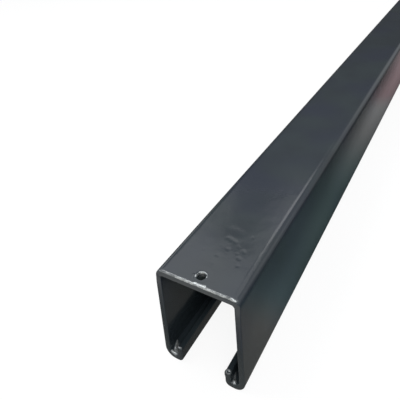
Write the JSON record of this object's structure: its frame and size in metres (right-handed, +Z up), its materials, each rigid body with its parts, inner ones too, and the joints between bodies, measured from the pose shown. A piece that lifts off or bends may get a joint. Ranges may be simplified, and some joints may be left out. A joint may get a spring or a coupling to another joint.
{
  "type": "strut channel",
  "caption": "Length of roll-formed strut channel with in-turned, up-returned lips along an open slot and a small hang hole near one end, painted glossy dark grey.",
  "frame": {"origin": "on the floor under the middle of the channel, level with the undersides of its lips", "axes": "+Z up, out of the back of the web; +Y along the channel, away from the end with the hang hole; +X across its width"},
  "size_m": [0.0412, 1, 0.052],
  "materials": {
    "channel": "glossy dark grey enamel with a soft orange peel, worn bright at the cut end"
  },
  "bodies": {
    "root": {"channel": "channel"}
  },
  "joints": []
}
